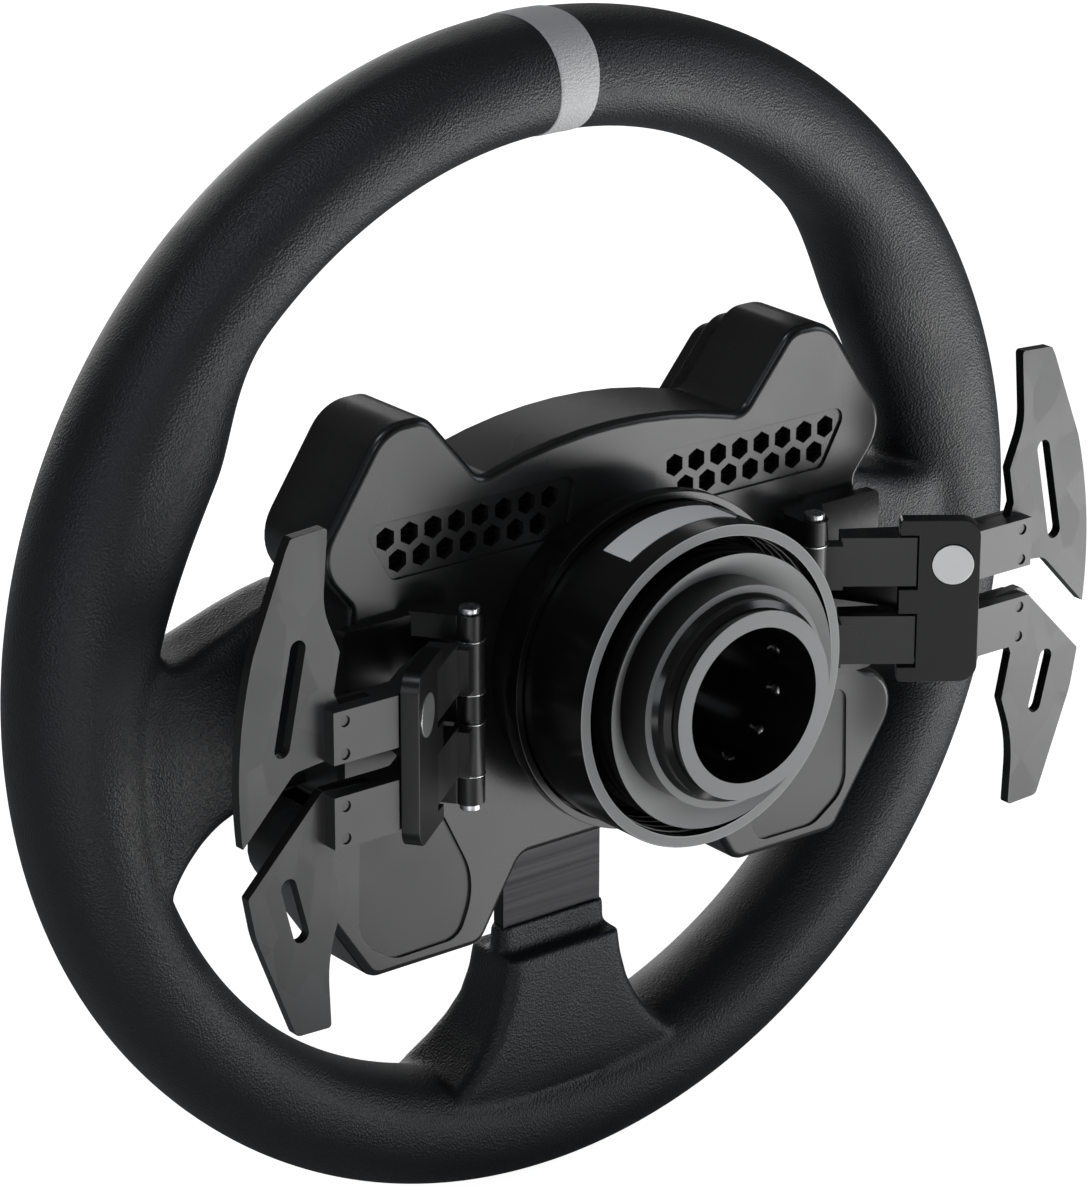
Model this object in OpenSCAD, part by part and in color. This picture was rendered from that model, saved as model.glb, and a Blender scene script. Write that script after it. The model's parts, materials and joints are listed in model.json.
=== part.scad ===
// Racing wheel: leather rim on a metal spoke plate, electronics housing with buttons,
// ball-lock quick release and two pairs of paddles.
// Frame: origin at the centre of the quick release mouth, X to the driver's right,
// Y out of the mouth and away from the driver, Z up to the marker band. Millimetres.

/* [Rim] */
// Outer diameter of the leather rim
rim_diameter = 330; // [300:1:360]
// Width of the rim grip, seen from the front
grip_width = 31.4; // [28:0.1:34]
// Depth of the rim grip, front to back
grip_depth = 38.8; // [34:0.1:42]
// Width of the marker band at twelve o'clock
band_width = 12.8; // [10:0.5:24]
// Thickness of the leather
leather = 1.6; // [1:0.1:2]

/* [Spoke plate and housing] */
// Rim centre plane to the mouth of the quick release
mouth_depth = 92.1; // [90:0.1:96]
// Thickness of the metal spoke plate
plate_thick = 4.3; // [3:0.1:5]
// Rim centre plane to the back face of the housing
housing_back = 34.5; // [34:0.1:36]
// Thickness of the housing back wall
housing_wall = 3; // [2:0.1:3.6]

/* [Quick release] */
// Diameter of the bore that takes the base's spigot
bore_diameter = 42; // [41:0.1:43]
// Outer diameter of the sliding collar
collar_diameter = 88; // [87:0.5:90]
// How far the collar slides towards the housing
collar_travel = 5; // [4:0.5:6]
// Number of locking balls
ball_count = 12; // [6:2:12]
// Diameter of a locking ball
ball_diameter = 5; // [4:0.5:6]

/* [Paddles] */
// Slope of the paddle arms, in degrees from the housing back
arm_slope = 37; // [36.5:0.1:37.5]
// Height of each arm
arm_height = 13.9; // [13:0.1:14.1]
// Thickness of the paddle blades
blade_thick = 3; // [2.5:0.1:3]

/* [Front controls] */
// Diameter of a push button
button_diameter = 12; // [10:0.5:12.5]
// Travel of a push button
button_travel = 1; // [0.5:0.1:1]

/* [Hidden] */
rim_radius = rim_diameter / 2;
ring_radius = rim_radius - grip_width / 2;
band_angle = band_width / ring_radius * 180 / PI;
plate_back = 8.3;
plate_front = plate_back - plate_thick;
panel_front = 0.5;
board_front = 16;
bore_radius = bore_diameter / 2;
collar_radius = collar_diameter / 2;
collar_face = 75.6;
collar_rear = 51;
boss_face = 52;
bore_floor = 58.5;
bolt_end = 55;
contact_radius = 12;
ball_depth = 76;
ball_radius = ball_diameter / 2;
hinge = [58.4, 48];
knuckle_radius = 3.9;
pin_radius = 1.5;
shift_bottom = 6.2;
clutch_bottom = -16.4;
knuckle_drop = 1.4;
blade_back = 66.8;
bracket_face = 70.9;
corner_steps = 8;
$fn = 64;

// ---------------------------------------------------------------- outlines

// The arc that rounds corner b, between its neighbours a and c. Each is [x, z, radius].
function round_corner(a, b, c) =
    let (
        here = [b.x, b.y],
        to_a = ([a.x, a.y] - here) / norm([a.x, a.y] - here),
        to_c = ([c.x, c.y] - here) / norm([c.x, c.y] - here),
        half = acos(to_a * to_c) / 2,
        centre = here + (to_a + to_c) / norm(to_a + to_c) * b.z / sin(half),
        first = here + to_a * b.z / tan(half) - centre,
        last = here + to_c * b.z / tan(half) - centre,
        start = atan2(first.y, first.x),
        sweep = (atan2(last.y, last.x) - start + 540) % 360 - 180
    )
    [for (i = [0 : corner_steps])
        centre + b.z * [cos(start + sweep * i / corner_steps), sin(start + sweep * i / corner_steps)]];

// A closed outline from corners [x, z, radius]; radius 0 keeps the corner sharp.
function rounded(corners) =
    let (n = len(corners))
    [for (i = [0 : n - 1])
        each corners[i].z == 0
            ? [[corners[i].x, corners[i].y]]
            : round_corner(corners[(i + n - 1) % n], corners[i], corners[(i + 1) % n])];

// The right half of an outline with its mirror image added, top to bottom and back up.
function both_halves(top, half) =
    concat([top], half, [for (i = [len(half) - 1 : -1 : 0]) [-half[i].x, half[i].y, half[i].z]]);

// The right half of the housing outline: an ear above, a lobe below.
housing_half = [
    [44, 55.4, 5], [61, 75.6, 8], [75, 75.6, 13], [97.3, 42.5, 13], [86, 29, 3],
    [86, -28.5, 2], [109.5, -33, 12], [80.8, -75.7, 6], [44.3, -75.7, 6], [30.8, -53.4, 5]
];
housing_outline = rounded(both_halves([0, 67.2, 150], housing_half));

// ---------------------------------------------------------------- placing

// Drawings below measure Y from the rim's centre plane; this moves them into the frame.
module from_rim() {
    translate([0, -mouth_depth, 0]) children();
}

// A flat outline in X and Z, made solid from depth y0 to y1.
module slab(y0, y1) {
    translate([0, y1, 0]) rotate([90, 0, 0]) linear_extrude(y1 - y0) children();
}

// A round bar along Y from y0 to y1, centred at x and z.
module bar(x, z, y0, y1, r) {
    translate([x, y1, z]) rotate([90, 0, 0]) cylinder(r = r, h = y1 - y0);
}

// A profile drawn as [radius, y], turned around the wheel's axis.
module turned() {
    rotate([-90, 0, 0]) rotate_extrude($fn = 96) children();
}

// Draws its children on the right, or mirrored on the left.
module on_side(side) {
    if (side > 0) children();
    else mirror([1, 0, 0]) children();
}

// ---------------------------------------------------------------- rim

// Oval section of the rim, shrunk by an inset.
module grip_section(inset) {
    radius = grip_width / 2 - inset;
    flat = (grip_depth - grip_width) / 2;
    translate([ring_radius, flat]) circle(radius);
    translate([ring_radius, -flat]) circle(radius);
    translate([ring_radius - radius, -flat]) square([2 * radius, 2 * flat]);
}

// The rim tube turned through an angle, starting at a direction in the X-Z plane.
module grip_ring(inset, start, angle) {
    rotate([90, 0, 0]) rotate([0, 0, start]) rotate_extrude(angle = angle, $fn = 120) grip_section(inset);
}

module rim_foam() color("dimgray") from_rim() difference() {
    grip_ring(leather + 0.02, 0, 360);
    slab(plate_front - 0.02, plate_back + 0.02) plate_ring(0.02);
    slab(plate_front - 0.02, plate_back + 0.02) plate_spokes(0.05);
}

// Four sewn panels: their seams lie under the spokes and at the marker band.
module rim_leather() color([0.07, 0.07, 0.08]) from_rim() difference() {
    for (panel = [[0, 90 - band_angle / 2], [90 + band_angle / 2, 90 - band_angle / 2], [180, 90], [270, 90]])
        grip_ring(0, panel[0] + 0.02, panel[1] - 0.04);
    grip_ring(leather, 0, 360);
    slab(plate_front - 0.02, plate_back + 0.02) plate_spokes(0.05);
}

module marker_band() color([0.75, 0.75, 0.75]) from_rim() difference() {
    grip_ring(0, 90 - band_angle / 2 + 0.02, band_angle - 0.04);
    grip_ring(leather, 0, 360);
}

// The right spoke covering with its thumb rest, seen from the front.
module side_cover_outline() {
    polygon(rounded([
        [86.6, 27.5, 0], [101, 24, 10], [113, 18.5, 10], [126, 17, 3], [125, 27, 12],
        [116, 46, 12], [106, 62, 12], [98, 80, 20], [98, 100, 0],
        [141, 50, 0], [146, 0, 0], [132, -64, 0],
        [124, -50, 8], [120.5, -37, 10], [108, -28.5, 12], [86.6, -27, 0]
    ]));
}

module side_cover() {
    difference() {
        slab(-12, 16.5) side_cover_outline();
        grip_ring(-0.02, 0, 360);
        slab(plate_front - 0.02, plate_back + 0.02) plate_spokes(0.05);
    }
}

module spoke_leather_right() color([0.07, 0.07, 0.08]) from_rim() side_cover();

module spoke_leather_left() color([0.07, 0.07, 0.08]) from_rim() on_side(-1) side_cover();

module spoke_leather_bottom() color([0.07, 0.07, 0.08]) from_rim() difference() {
    union() {
        slab(-5, 16.5) polygon(rounded([
            [-19.5, -95.5, 3], [19.5, -95.5, 3], [23, -112, 30], [44, -136, 0], [-44, -136, 0], [-23, -112, 30]
        ]));
        slab(plate_front - 1.2, plate_back + 1.2) translate([-18.3, -97]) square([36.6, 9]);
    }
    grip_ring(-0.02, 0, 360);
    slab(plate_front - 0.02, plate_back + 0.02) plate_spokes(0.05);
}

// ---------------------------------------------------------------- spoke plate

// The ring of the plate, buried in the rim foam.
module plate_ring(gap) {
    difference() {
        circle(ring_radius + 6 + gap, $fn = 120);
        circle(ring_radius - 6 - gap, $fn = 120);
    }
}

// The three spokes of the plate.
module plate_spokes(gap) {
    translate([-ring_radius, -19 - gap]) square([2 * ring_radius, 26 + 2 * gap]);
    translate([-17 - gap, -ring_radius]) square([34 + 2 * gap, ring_radius]);
}

// A disc with windows cut out around the housing and the spokes.
module spoke_plate() color("silver") from_rim() difference() {
    slab(plate_front, plate_back) difference() {
        circle(ring_radius + 6, $fn = 120);
        difference() {
            circle(ring_radius - 6, $fn = 120);
            scale([0.96, 0.96]) polygon(housing_outline);
            plate_spokes(0);
        }
        circle(16);
    }
    each_button(1) bar(0, 0, 0, 20, 2.9);
    each_button(-1) bar(0, 0, 0, 20, 2.9);
    for (side = [-1, 1]) on_side(side) {
        translate([stick_place.x, 0, stick_place.y]) bar(0, 0, 0, 20, 9);
        translate([wheel_place.x, 0, wheel_place.y]) bar(0, 0, 0, 20, 2.9);
        translate([knob_place.x, 0, knob_place.y]) bar(0, 0, 0, 20, 3.9);
    }
    for (place = screw_places) bar(place.x, place.y, 0, 20, 1.7);
    for (place = bolt_places) bar(place.x, place.y, 0, 20, 2.7);
}

// ---------------------------------------------------------------- housing

// Places of the screws that hold the plate to the housing, and of the six hub bolts.
screw_places = [for (side = [-1, 1]) each [[side * 52, 54], [side * 81, 43], [side * 89, -38], [side * 50, -64]]];
bolt_places = [for (i = [0 : 5]) 35 * [cos(60 * i), sin(60 * i)]];

// Hexagonal vent holes of the right side, two rows.
module vent_holes(y0, y1, r) {
    for (row = [0, 1])
        for (i = [0 : 7 - row])
            translate([21.1 + 3.8 * row + 7.6 * i, y1, 45.3 - 6.6 * row])
                rotate([90, 0, 0]) rotate([0, 0, 30]) cylinder(r = r, h = y1 - y0, $fn = 6);
}

module vent_recess_outline() {
    polygon(rounded([[82, 50, 3], [13, 50, 3], [16, 34, 3], [73, 34, 3]]));
}

module lobe_recess_outline() {
    polygon(rounded([[84, -33, 4], [84.7, -64, 10], [73, -71.8, 8], [52, -71.5, 6], [46, -57, 20], [58, -33, 6]]));
}

module rear_housing() color([0.12, 0.12, 0.13]) from_rim() difference() {
    slab(plate_back, housing_back) polygon(housing_outline);
    difference() {
        slab(plate_back - 1, housing_back - housing_wall) scale([0.945, 0.945]) polygon(housing_outline);
        for (place = screw_places) bar(place.x, place.y, plate_back, housing_back, 4.2);
        for (place = bolt_places) bar(place.x, place.y, plate_back, housing_back, 5.5);
    }
    for (place = screw_places) bar(place.x, place.y, plate_back - 1, plate_back + 13, 1.52);
    for (place = bolt_places) bar(place.x, place.y, plate_back - 1, housing_back + 1, 2.7);
    for (side = [-1, 1]) on_side(side) {
        vent_holes(housing_back - 10, housing_back + 1, 3.1);
        slab(housing_back - 0.8, housing_back + 1) vent_recess_outline();
        slab(housing_back - 0.8, housing_back + 1) lobe_recess_outline();
    }
    turned() translate([0, housing_back - 8]) square([14, 20]);
}

// Fine mesh behind the vents, one strip for each side.
module vent_mesh() color([0.03, 0.03, 0.03]) from_rim() for (side = [-1, 1]) on_side(side) {
    slab(housing_back - housing_wall - 1, housing_back - housing_wall - 0.02)
        translate([17, 36]) square([60, 13]);
}

// The boss flares out to a ring; the collar slides back into the ring's pocket.
module hub_boss() color([0.05, 0.05, 0.05]) from_rim() difference() {
    turned() polygon([
        [14, housing_back], [41, housing_back], [46.5, 48], [46.5, boss_face],
        [collar_radius + 0.4, boss_face], [collar_radius + 0.4, collar_rear - collar_travel - 0.4],
        [40.22, collar_rear - collar_travel - 0.4], [40.22, 45], [14, 45]
    ]);
    for (place = bolt_places) bar(place.x, place.y, housing_back - 1, 51, 2.7);
}

module hub_bolts() color("silver") from_rim() for (place = bolt_places) {
    bar(place.x, place.y, plate_front - 3.2, plate_front, 4.5);
    bar(place.x, place.y, plate_front, bolt_end, 2.48);
}

module housing_screws() color("dimgray") from_rim() for (place = screw_places) {
    bar(place.x, place.y, plate_front - 2, plate_front, 2.8);
    bar(place.x, place.y, plate_front, plate_back + 10, 1.5);
}

module circuit_board() color("darkgreen") from_rim() difference() {
    union() {
        slab(board_front, board_front + 1.6) scale([0.88, 0.88]) polygon(housing_outline);
        for (side = [-1, 1]) each_button(side) translate([-3.5, board_front - 1.8, -3.5]) cube([7, 1.8, 7]);
    }
    turned() square([15, 30]);
    for (place = bolt_places) bar(place.x, place.y, 10, 20, 6);
    for (place = screw_places) bar(place.x, place.y, 10, 20, 4.7);
}

// ---------------------------------------------------------------- front controls

// Places of the five buttons, the thumb stick, the thumb wheel and the knob, right side.
button_places = [[65, 56], [50, 38], [73, 34], [79, -46], [66, -61]];
stick_place = [60, 14];
wheel_place = [56, -36];
knob_place = [33, -39];

module each_button(side) {
    for (place = button_places) translate([side * place.x, 0, place.y]) children();
}

module front_panel() color([0.1, 0.1, 0.1]) from_rim() difference() {
    slab(panel_front, plate_front) scale([0.92, 0.92]) polygon(housing_outline);
    for (side = [-1, 1]) {
        each_button(side) {
            bar(0, 0, panel_front - 1, plate_front + 1, button_diameter / 2 + 0.4);
            bar(0, 0, panel_front + 1.3, plate_front + 1, button_diameter / 2 + 1.6);
        }
        on_side(side) {
            bar(stick_place.x, stick_place.y, -1, 6, 9);
            bar(wheel_place.x, wheel_place.y, -1, 6, 2.9);
            bar(knob_place.x, knob_place.y, -1, 6, 3.9);
        }
    }
    for (place = screw_places) bar(place.x, place.y, -1, 6, 3.1);
    for (place = bolt_places) bar(place.x, place.y, -1, 6, 4.9);
    slab(panel_front - 1, panel_front + 1.5) translate([-36, 43.5]) square([72, 6]);
}

// Ten lenses of the rev lights in one strip.
module rev_light_lens() color([0.6, 0.1, 0.1]) from_rim() for (i = [0 : 9]) {
    translate([-33.1 + 6.8 * i, panel_front - 0.6, 44.2]) cube([5, 2.08, 4.6]);
}

module button(side, place) {
    from_rim() translate([side * place.x, 0, place.y]) {
        bar(0, 0, -3.5, panel_front + 1.8, button_diameter / 2);
        bar(0, 0, panel_front + 1.6, plate_front - 0.3 - button_travel, button_diameter / 2 + 1.2);
        bar(0, 0, panel_front + 2, board_front - 2.2 - button_travel, 2.4);
    }
}

module button_a_right() color("gray") button(1, button_places[0]);
module button_b_right() color("gray") button(1, button_places[1]);
module button_c_right() color("gray") button(1, button_places[2]);
module button_d_right() color("gray") button(1, button_places[3]);
module button_e_right() color("gray") button(1, button_places[4]);
module button_a_left() color("gray") button(-1, button_places[0]);
module button_b_left() color("gray") button(-1, button_places[1]);
module button_c_left() color("gray") button(-1, button_places[2]);
module button_d_left() color("gray") button(-1, button_places[3]);
module button_e_left() color("gray") button(-1, button_places[4]);

// A round control that turns on a shaft through the plate.
module rotary(side, place, radius, shaft) {
    from_rim() translate([side * place.x, 0, place.y]) {
        difference() {
            bar(0, 0, -11, panel_front - 0.4, radius);
            translate([-0.6, -11.5, radius * 0.45]) cube([1.2, 1.2, radius]);
        }
        bar(0, 0, panel_front - 0.5, board_front - 0.4, shaft);
    }
}

module thumb_wheel_right() color("dimgray") rotary(1, wheel_place, 7.5, 2.5);
module thumb_wheel_left() color("dimgray") rotary(-1, wheel_place, 7.5, 2.5);
module knob_right() color("dimgray") rotary(1, knob_place, 10, 3.5);
module knob_left() color("dimgray") rotary(-1, knob_place, 10, 3.5);

// The gimbal ring carries the stick and tilts about X; the stick tilts in it about Z.
module stick_gimbal(side) {
    from_rim() translate([side * stick_place.x, 11, stick_place.y]) rotate([90, 0, 0]) difference() {
        cylinder(r = 7, h = 2.4, center = true);
        cylinder(r = 5.2, h = 4, center = true);
    }
}

module stick(side) {
    from_rim() translate([side * stick_place.x, 0, stick_place.y]) {
        translate([0, 11, 0]) sphere(4.6);
        bar(0, 0, -8, 11, 2);
        bar(0, 0, -10, -7, 6.5);
    }
}

module stick_gimbal_right() color("silver") stick_gimbal(1);
module stick_gimbal_left() color("silver") stick_gimbal(-1);
module stick_right() color("dimgray") stick(1);
module stick_left() color("dimgray") stick(-1);

// ---------------------------------------------------------------- quick release

module release_body() color([0.55, 0.55, 0.56]) from_rim() difference() {
    turned() polygon([
        [contact_radius + 0.05, 45], [40.2, 45], [40.2, 53.2], [41.2, 53.2], [41.2, 56], [37.3, 56], [37.3, 79.7],
        [30.2, 74.4], [30.2, 84.5], [28.2, 84.5], [27.2, 86], [27.2, 88.2], [25.5, 89.2],
        [25.5, mouth_depth], [bore_radius, mouth_depth], [bore_radius, bore_floor],
        [contact_radius + 0.05, bore_floor]
    ]);
    for (i = [0 : ball_count - 1]) rotate([0, 15 + 360 / ball_count * i, 0])
        translate([bore_radius - 1, ball_depth, 0]) rotate([0, 90, 0])
            cylinder(r = ball_radius + 0.05, h = ball_diameter + 1.4);
    for (place = bolt_places) bar(place.x, place.y, 44, bolt_end + 0.4, 2.5);
}

module release_collar() color([0.08, 0.08, 0.08]) from_rim() turned() polygon([
    [40.7, collar_rear], [collar_radius, collar_rear], [collar_radius, collar_face],
    [40.7, collar_face], [40.7, collar_face - 1.8], [41.6, collar_face - 1.8],
    [41.6, collar_rear + 1.9], [40.7, collar_rear + 1.9]
]);

// The spring that pushes the collar back out; four rings stand for its turns.
module collar_spring() color("silver") from_rim() turned() {
    for (i = [0 : 3]) translate([40.55, 56.7 + 5.45 * i]) circle(0.6, $fn = 24);
}

// The balls stand level with the bore wall, as with the collar drawn back.
module locking_balls() color("silver") from_rim() for (i = [0 : ball_count - 1]) {
    rotate([0, 15 + 360 / ball_count * i, 0])
        translate([bore_radius + ball_radius + 0.1, ball_depth, 0]) sphere(ball_radius);
}

// A blank band stuck on the collar.
module collar_label() color("white") from_rim() rotate([90, 0, 0]) rotate([0, 0, 59])
    translate([0, 0, -68.8]) rotate_extrude(angle = 48, $fn = 96)
        translate([collar_radius + 0.01, 0]) square([0.2, 10.8]);

module contact_block() color("gold") from_rim() {
    bar(0, 0, housing_back - 6, 56, contact_radius);
    for (i = [0 : 5]) bar(7 * cos(60 * i), 7 * sin(60 * i), 55.9, 58, 0.8);
}

// ---------------------------------------------------------------- paddles

// A point [u, v] along and square to the sloping arm, as [x, y].
function on_arm(u, v) = hinge + u * [cos(arm_slope), sin(arm_slope)] + v * [-sin(arm_slope), cos(arm_slope)];

// A flat outline in X and Y, made solid from height z0 to z1.
module upright(z0, z1) {
    translate([0, 0, z0]) linear_extrude(z1 - z0) children();
}

// One arm: barrel on the hinge pin, thick block, thin part below the cover, forked bracket.
module paddle_arm(bottom) {
    top = bottom + arm_height;
    difference() {
        union() {
            upright(bottom - knuckle_drop, top - knuckle_drop) translate(hinge) circle(knuckle_radius);
            upright(bottom, top - knuckle_drop) polygon([
                on_arm(0, -3.4), on_arm(8, -3.4), on_arm(8, 2), on_arm(0, 2)
            ]);
            upright(bottom, top) polygon([
                on_arm(7.5, -8.5), on_arm(28.2, -10.6), on_arm(37, -10.6), [97, 62], [116, 62], [117.8, 63.8],
                [117.8, bracket_face], [98.1, bracket_face], on_arm(45, -5.7), on_arm(28.2, -5.7),
                on_arm(28.2, -0.9), on_arm(7.5, -0.9)
            ]);
        }
        translate([hinge.x, hinge.y, bottom - 5]) cylinder(r = pin_radius + 0.05, h = 30);
        upright(bottom - 1, top + 1) translate([103.5, blade_back - blade_thick]) square([20, blade_thick]);
        for (rise = [2.3, 11]) {
            bar(114.35, bottom + rise, 60, 72, 0.9);
            bar(114.35, bottom + rise, bracket_face - 1.2, 72, 1.5);
        }
    }
}

module shift_arm_right() color([0.2, 0.2, 0.21]) from_rim() paddle_arm(shift_bottom);
module shift_arm_left() color([0.2, 0.2, 0.21]) from_rim() on_side(-1) paddle_arm(shift_bottom);
module clutch_arm_right() color([0.2, 0.2, 0.21]) from_rim() paddle_arm(clutch_bottom);
module clutch_arm_left() color([0.2, 0.2, 0.21]) from_rim() on_side(-1) paddle_arm(clutch_bottom);

// A slot with round ends between two points.
module slot(a, b, r) {
    length = norm(b - a);
    translate(a) rotate(atan2(b.y - a.y, b.x - a.x)) {
        circle(r);
        translate([length, 0]) circle(r);
        translate([0, -r]) square([length, 2 * r]);
    }
}

// Screw holes of a blade, in line with those of its bracket.
module blade_holes(bottom) {
    for (rise = [2.3, 11]) translate([114.35, bottom + rise]) circle(0.9);
}

// The upper blade's curved outer edge is part of a large circle.
module shift_blade() {
    slab(blade_back - blade_thick, blade_back) difference() {
        intersection() {
            polygon(rounded([
                [115.9, 66.9, 1], [127.2, 66.2, 2], [150, 10, 0], [143.4, -12, 1], [127, 5.2, 4],
                [118, 6.2, 0], [104, 6.2, 0], [104, 20, 0], [113.3, 20, 0], [114.7, 23.6, 1],
                [112.7, 33.8, 1], [117.6, 46, 20]
            ]));
            translate([14.6, 3]) circle(128.8, $fn = 200);
        }
        slot([125.2, 37.4], [130.4, 12.4], 2.3);
        blade_holes(shift_bottom);
    }
}

module clutch_blade() {
    slab(blade_back - blade_thick, blade_back) difference() {
        polygon(rounded([
            [104, -2.6, 0], [118.6, -1.6, 2], [141.4, -24.8, 1], [139.3, -36, 30], [127.6, -66, 2],
            [116.8, -66.4, 1], [117.6, -47, 40], [112.8, -33.6, 1], [115.6, -20.5, 1], [113.8, -16.2, 0],
            [104, -16.2, 0]
        ]));
        slot([129.2, -24.8], [125.7, -38.3], 2.3);
        blade_holes(clutch_bottom);
    }
}

module shift_blade_right() color([0.3, 0.3, 0.31]) from_rim() shift_blade();
module shift_blade_left() color([0.3, 0.3, 0.31]) from_rim() on_side(-1) shift_blade();
module clutch_blade_right() color([0.3, 0.3, 0.31]) from_rim() clutch_blade();
module clutch_blade_left() color([0.3, 0.3, 0.31]) from_rim() on_side(-1) clutch_blade();

// The two small screws that clamp a blade in its bracket.
module bracket_screws(bottom) {
    for (rise = [2.3, 11]) {
        bar(114.35, bottom + rise, 62.2, bracket_face - 1, 0.88);
        bar(114.35, bottom + rise, bracket_face - 1.18, bracket_face - 0.5, 1.45);
    }
}

module shift_screws_right() color("black") from_rim() bracket_screws(shift_bottom);
module shift_screws_left() color("black") from_rim() on_side(-1) bracket_screws(shift_bottom);
module clutch_screws_right() color("black") from_rim() bracket_screws(clutch_bottom);
module clutch_screws_left() color("black") from_rim() on_side(-1) bracket_screws(clutch_bottom);

// Heights of the three fixed knuckles: above, between and below the two arms.
fixed_knuckles = [
    [shift_bottom + arm_height - knuckle_drop + 0.6, 26],
    [clutch_bottom + arm_height - knuckle_drop + 0.6, shift_bottom - knuckle_drop - 0.6],
    [-26, clutch_bottom - knuckle_drop - 0.6]
];

// Base block screwed to the housing back, with three knuckles for the hinge pin.
module paddle_base() {
    difference() {
        union() {
            slab(housing_back + 0.02, 38) polygon(rounded([[56, 25, 3], [91, 25, 2], [91, -27, 3], [56, -27, 3]]));
            for (span = fixed_knuckles) {
                upright(span.x, span.y) translate(hinge) circle(knuckle_radius);
                upright(span.x, span.y) polygon([
                    [57, 37.5], [70, 37.5], on_arm(3, -3.2), [hinge.x + 3.4, hinge.y], [hinge.x - 3.9, hinge.y], [54.6, 40]
                ]);
            }
            upright(clutch_bottom + arm_height + 0.5, shift_bottom - 0.5) polygon([
                [70, 37.5], [84, 37.5], on_arm(38, -5.22), on_arm(26, -5.22)
            ]);
        }
        translate([hinge.x, hinge.y, -30]) cylinder(r = pin_radius + 0.05, h = 60);
    }
}

module paddle_base_right() color([0.1, 0.1, 0.1]) from_rim() paddle_base();
module paddle_base_left() color([0.1, 0.1, 0.1]) from_rim() on_side(-1) paddle_base();

// Sloping cover plate over the arms, with a notch where each arm comes through.
module paddle_cover() {
    translate([hinge.x, hinge.y, 0]) rotate([0, 0, arm_slope]) difference() {
        slab(-5.2, -0.3) difference() {
            polygon(rounded([[23.5, 25.3, 1], [45.4, 25.3, 5], [45.4, -21.5, 5], [23.5, -21.5, 1]]));
            for (bottom = [shift_bottom, clutch_bottom])
                translate([20, bottom - 0.8]) square([8.6, arm_height + 1.6]);
        }
        bar(38, 12.6, -1.3, 0, 5.75);
    }
}

module paddle_cover_right() color([0.12, 0.12, 0.12]) from_rim() paddle_cover();
module paddle_cover_left() color([0.12, 0.12, 0.12]) from_rim() on_side(-1) paddle_cover();

module magnet_discs() color("silver") from_rim() for (side = [-1, 1]) on_side(side) {
    translate([hinge.x, hinge.y, 0]) rotate([0, 0, arm_slope]) bar(38, 12.6, -1.28, 0, 5.7);
}

module hinge_pins() color("silver") from_rim() for (side = [-1, 1]) on_side(side) translate([hinge.x, hinge.y, 0]) {
    translate([0, 0, -27.5]) cylinder(r = pin_radius, h = 55);
    translate([0, 0, 26.02]) cylinder(r = 2.8, h = 1.8);
    translate([0, 0, -28]) cylinder(r = 2.8, h = 1.98);
}

// Thin bright washers at both ends of each arm's barrel.
module hinge_washers() color("silver") from_rim() for (side = [-1, 1]) on_side(side) {
    for (bottom = [shift_bottom, clutch_bottom], end = [-0.45, arm_height + 0.05])
        translate([hinge.x, hinge.y, bottom - knuckle_drop + end]) difference() {
            cylinder(r = 4.1, h = 0.4);
            translate([0, 0, -1]) cylinder(r = pin_radius + 0.1, h = 3);
        }
}

// ---------------------------------------------------------------- nodes

rim_foam();
rim_leather();
marker_band();
spoke_leather_right();
spoke_leather_left();
spoke_leather_bottom();
spoke_plate();
rear_housing();
vent_mesh();
hub_boss();
hub_bolts();
release_body();
release_collar();
collar_spring();
locking_balls();
collar_label();
contact_block();
circuit_board();
front_panel();
rev_light_lens();
housing_screws();
button_a_right();
button_b_right();
button_c_right();
button_d_right();
button_e_right();
button_a_left();
button_b_left();
button_c_left();
button_d_left();
button_e_left();
thumb_wheel_right();
thumb_wheel_left();
knob_right();
knob_left();
stick_gimbal_right();
stick_right();
stick_gimbal_left();
stick_left();
paddle_base_right();
paddle_base_left();
paddle_cover_right();
paddle_cover_left();
hinge_pins();
hinge_washers();
magnet_discs();
shift_arm_right();
shift_arm_left();
clutch_arm_right();
clutch_arm_left();
shift_blade_right();
shift_blade_left();
clutch_blade_right();
clutch_blade_left();
shift_screws_right();
shift_screws_left();
clutch_screws_right();
clutch_screws_left();
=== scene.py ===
"""Looks of a racing wheel: leather rim, dark coated housing, turned quick release, carbon blades.

Metres, in the frame of the CAD model: X to the driver's right, Y out of the quick release mouth
and away from the driver, Z up to the marker band.
"""

import json
import math

import bmesh
import bpy
from mathutils import Matrix, Vector


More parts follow.
